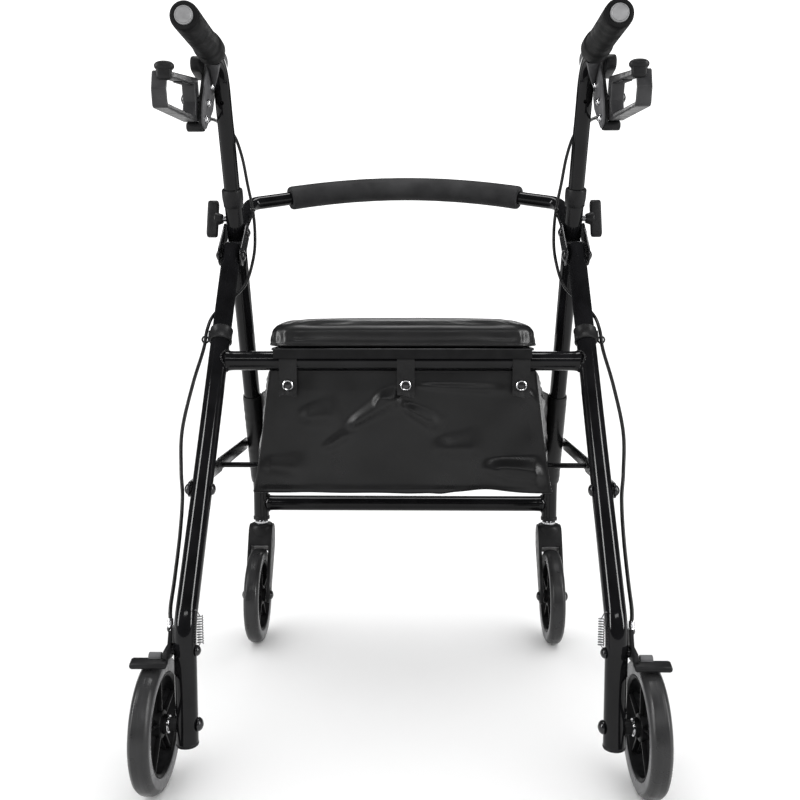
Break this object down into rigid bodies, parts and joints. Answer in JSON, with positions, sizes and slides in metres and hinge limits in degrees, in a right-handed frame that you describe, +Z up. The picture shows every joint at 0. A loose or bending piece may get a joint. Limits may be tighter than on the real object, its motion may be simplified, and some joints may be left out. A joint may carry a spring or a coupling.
{
  "type": "rollator walker",
  "caption": "Folding walker with braked rear wheels, swivel casters, loop brakes, height-adjustable grips, padded seat, back bar and under-seat pouch.",
  "frame": {"origin": "centre of the bounding box's base, on the floor midway between the wheels", "axes": "+Y the way the walker rolls forward, +Z up, +X the user's right"},
  "size_m": [0.5912, 0.6214, 0.8921],
  "materials": {
    "gloss_black_paint": "high gloss",
    "black_zinc_steel": "black zinc, satin",
    "chrome": "polished",
    "tyre": "matte moulded",
    "wheel_plastic": "satin",
    "grip_rubber": "matte",
    "dark_plastic": "satin",
    "lever_metal": "satin",
    "end_plug": "satin",
    "foam": "matte foam",
    "vinyl": "glossy vinyl",
    "coated_fabric": "coated, semi-gloss",
    "cable_jacket": "satin"
  },
  "bodies": {
    "front_frame": {"front_crossbar": "gloss_black_paint", "seat_hinge_bar": "gloss_black_paint", "back_bar": "gloss_black_paint", "back_foam": "foam", "storage_pouch": "coated_fabric", "front_leg_left": "gloss_black_paint", "front_leg_right": "gloss_black_paint", "stem_plug_left": "dark_plastic", "stem_plug_right": "dark_plastic", "height_collar_left": "dark_plastic", "height_collar_right": "dark_plastic", "fold_bracket_left": "black_zinc_steel", "fold_bracket_right": "black_zinc_steel", "pivot_bolt_left": "black_zinc_steel", "pivot_bolt_right": "black_zinc_steel", "brake_cable_left": "cable_jacket", "brake_cable_right": "cable_jacket"},
    "rear_frame": {"rear_crossbar": "gloss_black_paint", "rear_leg_left": "gloss_black_paint", "rear_leg_right": "gloss_black_paint", "cable_clip_left": "dark_plastic", "cable_clip_right": "dark_plastic", "rear_axle_left": "chrome", "rear_axle_right": "chrome", "brake_spring_left": "chrome", "brake_spring_right": "chrome"},
    "front_links": {"front_link_left": "black_zinc_steel", "front_link_right": "black_zinc_steel", "fold_rod": "black_zinc_steel"},
    "seat": {"seat_pan": "black_zinc_steel", "seat_cushion": "vinyl"},
    "rear_link_left": {"rear_link_left": "black_zinc_steel"},
    "caster_left": {"caster_fork_left": "dark_plastic", "caster_axle_left": "black_zinc_steel"},
    "caster_wheel_left": {"caster_tyre_left": "tyre", "caster_rim_left": "wheel_plastic"},
    "rear_wheel_left": {"rear_tyre_left": "tyre", "rear_rim_left": "wheel_plastic"},
    "handle_left": {"handle_post_left": "gloss_black_paint", "grip_left": "grip_rubber", "grip_plug_left": "end_plug", "brake_housing_left": "dark_plastic"},
    "lever_left": {"brake_lever_left": "lever_metal"},
    "shoe_left": {"brake_shoe_left": "dark_plastic"},
    "knob_left": {"height_knob_left": "dark_plastic"},
    "rear_link_right": {"rear_link_right": "black_zinc_steel"},
    "caster_right": {"caster_fork_right": "dark_plastic", "caster_axle_right": "black_zinc_steel"},
    "caster_wheel_right": {"caster_tyre_right": "tyre", "caster_rim_right": "wheel_plastic"},
    "rear_wheel_right": {"rear_tyre_right": "tyre", "rear_rim_right": "wheel_plastic"},
    "handle_right": {"handle_post_right": "gloss_black_paint", "grip_right": "grip_rubber", "grip_plug_right": "end_plug", "brake_housing_right": "dark_plastic"},
    "lever_right": {"brake_lever_right": "lever_metal"},
    "shoe_right": {"brake_shoe_right": "dark_plastic"},
    "knob_right": {"height_knob_right": "dark_plastic"}
  },
  "joints": [
    {"name": "fold", "type": "hinge", "parent": "front_frame", "child": "rear_frame", "pos_m": [0, 0.0635, 0.623], "axis": [1, 0, 0], "range_deg": [0, 30], "deforming": ["storage_pouch", "brake_cable_left", "brake_cable_right"]},
    {"name": "front_links_hinge", "type": "hinge", "parent": "front_frame", "child": "front_links", "pos_m": [0, 0.2442, 0.329], "axis": [1, 0, 0], "range_deg": [-33, 0]},
    {"name": "seat_flip", "type": "hinge", "parent": "front_frame", "child": "seat", "pos_m": [0, 0.18534, 0.4856], "axis": [-1, 0, 0], "range_deg": [0, 75]},
    {"name": "rear_link_hinge_left", "type": "hinge", "parent": "rear_frame", "child": "rear_link_left", "pos_m": [-0.2578, -0.13884, 0.329], "axis": [1, 0, 0], "range_deg": [0, 50]},
    {"name": "caster_swivel_left", "type": "hinge", "parent": "front_frame", "child": "caster_left", "pos_m": [-0.243, 0.279, 0.2], "axis": [0, 0, 1], "continuous": true},
    {"name": "caster_roll_left", "type": "hinge", "parent": "caster_left", "child": "caster_wheel_left", "pos_m": [-0.243, 0.2345, 0.0762], "axis": [1, 0, 0], "continuous": true},
    {"name": "rear_wheel_roll_left", "type": "hinge", "parent": "rear_frame", "child": "rear_wheel_left", "pos_m": [-0.278, -0.2345, 0.0762], "axis": [1, 0, 0], "continuous": true},
    {"name": "handle_height_left", "type": "slide", "parent": "front_frame", "child": "handle_left", "axis": [0, -0.3947, 0.9188], "range_m": [-0.045, 0.075], "deforming": ["brake_cable_left"]},
    {"name": "brake_squeeze_left", "type": "hinge", "parent": "handle_left", "child": "lever_left", "pos_m": [-0.2712, -0.033, 0.815], "axis": [-1, 0, 0], "range_deg": [0, 12], "stiffness_Nm_per_rad": 1.5, "springref_deg": -6.88},
    {"name": "brake_shoe_turn_left", "type": "hinge", "parent": "rear_frame", "child": "shoe_left", "pos_m": [-0.26, -0.2345, 0.164], "axis": [1, 0, 0], "range_deg": [0, 8]},
    {"name": "knob_turn_left", "type": "hinge", "parent": "front_frame", "child": "knob_left", "pos_m": [-0.265, 0.09469, 0.677], "axis": [1, 0, 0], "continuous": true},
    {"name": "rear_link_hinge_right", "type": "hinge", "parent": "rear_frame", "child": "rear_link_right", "pos_m": [0.2578, -0.13884, 0.329], "axis": [1, 0, 0], "range_deg": [0, 50]},
    {"name": "caster_swivel_right", "type": "hinge", "parent": "front_frame", "child": "caster_right", "pos_m": [0.243, 0.279, 0.2], "axis": [0, 0, 1], "continuous": true},
    {"name": "caster_roll_right", "type": "hinge", "parent": "caster_right", "child": "caster_wheel_right", "pos_m": [0.243, 0.2345, 0.0762], "axis": [1, 0, 0], "continuous": true},
    {"name": "rear_wheel_roll_right", "type": "hinge", "parent": "rear_frame", "child": "rear_wheel_right", "pos_m": [0.278, -0.2345, 0.0762], "axis": [1, 0, 0], "continuous": true},
    {"name": "handle_height_right", "type": "slide", "parent": "front_frame", "child": "handle_right", "axis": [0, -0.3947, 0.9188], "range_m": [-0.045, 0.075], "deforming": ["brake_cable_right"]},
    {"name": "brake_squeeze_right", "type": "hinge", "parent": "handle_right", "child": "lever_right", "pos_m": [0.2712, -0.033, 0.815], "axis": [-1, 0, 0], "range_deg": [0, 12], "stiffness_Nm_per_rad": 1.5, "springref_deg": -6.88},
    {"name": "brake_shoe_turn_right", "type": "hinge", "parent": "rear_frame", "child": "shoe_right", "pos_m": [0.26, -0.2345, 0.164], "axis": [1, 0, 0], "range_deg": [0, 8]},
    {"name": "knob_turn_right", "type": "hinge", "parent": "front_frame", "child": "knob_right", "pos_m": [0.265, 0.09469, 0.677], "axis": [1, 0, 0], "continuous": true}
  ],
  "couplings": [
    {"joint": "front_links_hinge", "follows": "fold", "ratio": -1.0706},
    {"joint": "rear_link_hinge_left", "follows": "fold", "ratio": 1.6382},
    {"joint": "brake_shoe_turn_left", "follows": "brake_squeeze_left", "ratio": 0.6667},
    {"joint": "rear_link_hinge_right", "follows": "fold", "ratio": 1.6382},
    {"joint": "brake_shoe_turn_right", "follows": "brake_squeeze_right", "ratio": 0.6667}
  ]
}
